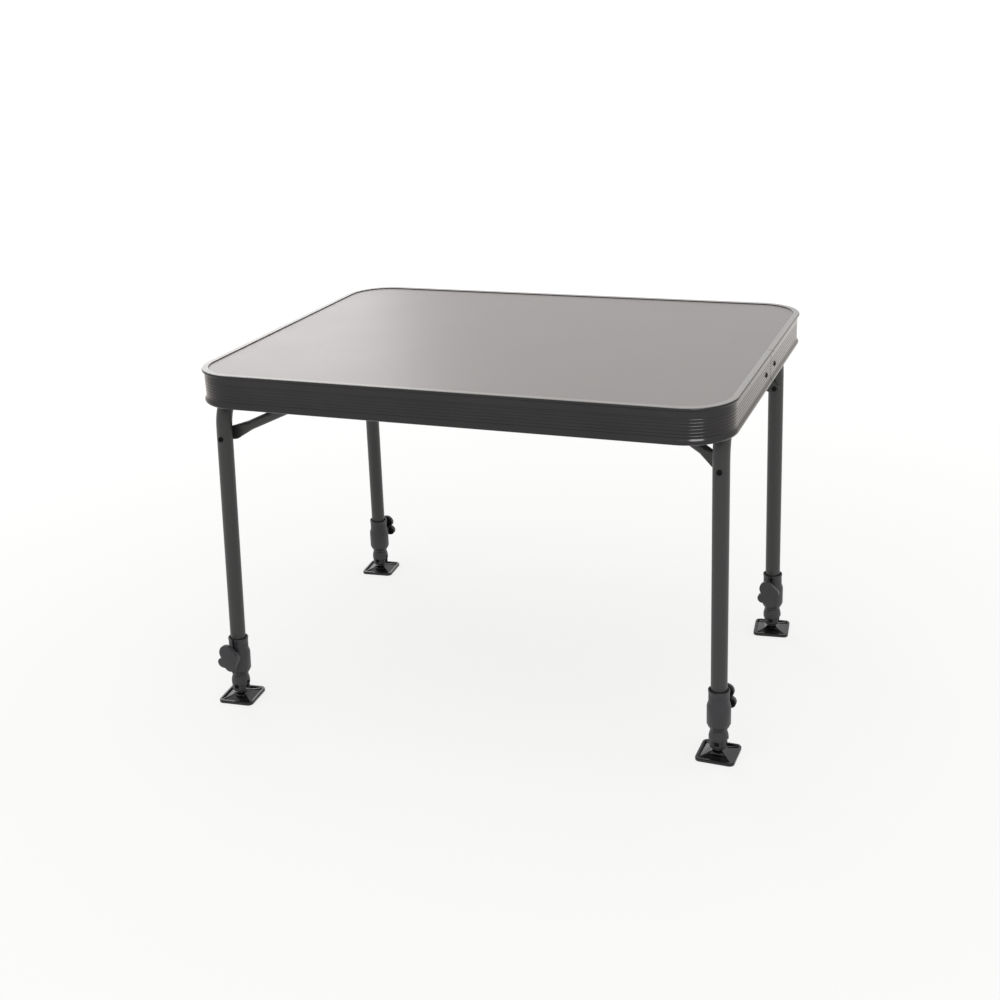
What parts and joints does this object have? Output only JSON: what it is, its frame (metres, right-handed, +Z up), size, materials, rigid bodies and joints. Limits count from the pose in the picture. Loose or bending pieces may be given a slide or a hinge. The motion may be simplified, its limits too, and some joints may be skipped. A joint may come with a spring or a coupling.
{
  "type": "folding camping table",
  "caption": "Rectangular folding camping table with a ribbed edge rail, fold-in U-shaped tube legs, stays, telescopic leg ends with clamp knobs and swivelling feet.",
  "frame": {"origin": "middle of the footprint, on the floor", "axes": "+X along the table's long side, towards the narrow leg frame; +Y to the rear; +Z up"},
  "size_m": [0.8288, 0.6, 0.55],
  "materials": {
    "board": "smooth glossy warm grey laminate on a board",
    "rail": "satin anthracite aluminium extrusion",
    "tube": "satin dark grey aluminium tube",
    "moulding": "charcoal moulded nylon",
    "knob": "charcoal moulded nylon, slightly soft sheen",
    "foot": "near black moulded plastic, semi-gloss",
    "bracket": "grey anodised aluminium sheet",
    "fastener": "zinc-plated steel",
    "dark_fastener": "blackened steel"
  },
  "bodies": {
    "root": {"table_board": "board", "edge_rail": "rail", "rail_splice": "fastener", "splice_rivets": "dark_fastener", "saddle_screws": "fastener", "guide_screws": "fastener", "left_front_saddle": "moulding", "left_rear_saddle": "moulding", "right_front_saddle": "moulding", "right_rear_saddle": "moulding", "left_front_guide": "bracket", "left_rear_guide": "bracket", "right_front_guide": "bracket", "right_rear_guide": "bracket"},
    "left_frame": {"left_leg_frame": "tube", "left_stay_rivets": "dark_fastener", "left_front_collar": "moulding", "left_rear_collar": "moulding"},
    "left_front_stay": {"left_front_stay": "tube", "left_front_slide_pin": "fastener"},
    "left_front_leg_extension": {"left_front_inner_tube": "tube", "left_front_foot_socket": "moulding"},
    "left_front_foot": {"left_front_foot_plate": "foot"},
    "left_front_lock": {"left_front_lock_knob": "knob", "left_front_lock_bolt": "fastener"},
    "left_rear_stay": {"left_rear_stay": "tube", "left_rear_slide_pin": "fastener"},
    "left_rear_leg_extension": {"left_rear_inner_tube": "tube", "left_rear_foot_socket": "moulding"},
    "left_rear_foot": {"left_rear_foot_plate": "foot"},
    "left_rear_lock": {"left_rear_lock_knob": "knob", "left_rear_lock_bolt": "fastener"},
    "right_frame": {"right_leg_frame": "tube", "right_stay_rivets": "dark_fastener", "right_front_collar": "moulding", "right_rear_collar": "moulding"},
    "right_front_stay": {"right_front_stay": "tube", "right_front_slide_pin": "fastener"},
    "right_front_leg_extension": {"right_front_inner_tube": "tube", "right_front_foot_socket": "moulding"},
    "right_front_foot": {"right_front_foot_plate": "foot"},
    "right_front_lock": {"right_front_lock_knob": "knob", "right_front_lock_bolt": "fastener"},
    "right_rear_stay": {"right_rear_stay": "tube", "right_rear_slide_pin": "fastener"},
    "right_rear_leg_extension": {"right_rear_inner_tube": "tube", "right_rear_foot_socket": "moulding"},
    "right_rear_foot": {"right_rear_foot_plate": "foot"},
    "right_rear_lock": {"right_rear_lock_knob": "knob", "right_rear_lock_bolt": "fastener"}
  },
  "joints": [
    {"name": "left_fold", "type": "hinge", "parent": "root", "child": "left_frame", "pos_m": [-0.36608, 0, 0.514], "axis": [0, 1, 0], "range_deg": [-83, 0]},
    {"name": "left_front_stay_turn", "type": "hinge", "parent": "left_frame", "child": "left_front_stay", "pos_m": [-0.36883, -0.23347, 0.43705], "axis": [0, 1, 0], "range_deg": [0, 101.66]},
    {"name": "left_front_leg_slide", "type": "slide", "parent": "left_frame", "child": "left_front_leg_extension", "axis": [-0.0358, -0.034, -0.9988], "range_m": [0, 0.16]},
    {"name": "left_front_foot_tilt", "type": "hinge", "parent": "left_front_leg_extension", "child": "left_front_foot", "pos_m": [-0.38365, -0.26123, 0.023], "axis": [0, 1, 0], "range_deg": [-15, 15]},
    {"name": "left_front_lock_turn", "type": "hinge", "parent": "left_frame", "child": "left_front_lock", "pos_m": [-0.38176, -0.25942, 0.07591], "axis": [0.0012, -0.9994, 0.034], "range_deg": [0, 90]},
    {"name": "left_rear_stay_turn", "type": "hinge", "parent": "left_frame", "child": "left_rear_stay", "pos_m": [-0.36883, 0.23347, 0.43705], "axis": [0, 1, 0], "range_deg": [0, 101.66]},
    {"name": "left_rear_leg_slide", "type": "slide", "parent": "left_frame", "child": "left_rear_leg_extension", "axis": [-0.0358, 0.034, -0.9988], "range_m": [0, 0.16]},
    {"name": "left_rear_foot_tilt", "type": "hinge", "parent": "left_rear_leg_extension", "child": "left_rear_foot", "pos_m": [-0.38365, 0.26123, 0.023], "axis": [0, 1, 0], "range_deg": [-15, 15]},
    {"name": "left_rear_lock_turn", "type": "hinge", "parent": "left_frame", "child": "left_rear_lock", "pos_m": [-0.38176, 0.25942, 0.07591], "axis": [0.0012, 0.9994, 0.034], "range_deg": [0, 90]},
    {"name": "right_fold", "type": "hinge", "parent": "root", "child": "right_frame", "pos_m": [0.37732, 0, 0.514], "axis": [0, 1, 0], "range_deg": [0, 83]},
    {"name": "right_front_stay_turn", "type": "hinge", "parent": "right_frame", "child": "right_front_stay", "pos_m": [0.37826, -0.19026, 0.43701], "axis": [0, 1, 0], "range_deg": [-109.02, 0]},
    {"name": "right_front_leg_slide", "type": "slide", "parent": "right_frame", "child": "right_front_leg_extension", "axis": [0.0122, -0.0183, -0.9998], "range_m": [0, 0.16]},
    {"name": "right_front_foot_tilt", "type": "hinge", "parent": "right_front_leg_extension", "child": "right_front_foot", "pos_m": [0.38332, -0.2115, 0.023], "axis": [0, 1, 0], "range_deg": [-15, 15]},
    {"name": "right_front_lock_turn", "type": "hinge", "parent": "right_frame", "child": "right_front_lock", "pos_m": [0.38267, -0.21053, 0.07598], "axis": [0.0002, 0.9998, -0.0183], "range_deg": [0, 90]},
    {"name": "right_rear_stay_turn", "type": "hinge", "parent": "right_frame", "child": "right_rear_stay", "pos_m": [0.37826, 0.19026, 0.43701], "axis": [0, 1, 0], "range_deg": [-109.02, 0]},
    {"name": "right_rear_leg_slide", "type": "slide", "parent": "right_frame", "child": "right_rear_leg_extension", "axis": [0.0122, 0.0183, -0.9998], "range_m": [0, 0.16]},
    {"name": "right_rear_foot_tilt", "type": "hinge", "parent": "right_rear_leg_extension", "child": "right_rear_foot", "pos_m": [0.38332, 0.2115, 0.023], "axis": [0, 1, 0], "range_deg": [-15, 15]},
    {"name": "right_rear_lock_turn", "type": "hinge", "parent": "right_frame", "child": "right_rear_lock", "pos_m": [0.38267, 0.21053, 0.07598], "axis": [0.0002, -0.9998, -0.0183], "range_deg": [0, 90]}
  ],
  "couplings": [
    {"joint": "left_front_stay_turn", "follows": "left_fold", "ratio": -1.2128},
    {"joint": "left_rear_stay_turn", "follows": "left_fold", "ratio": -1.2128},
    {"joint": "right_front_stay_turn", "follows": "right_fold", "ratio": -1.3014},
    {"joint": "right_rear_stay_turn", "follows": "right_fold", "ratio": -1.3014}
  ]
}
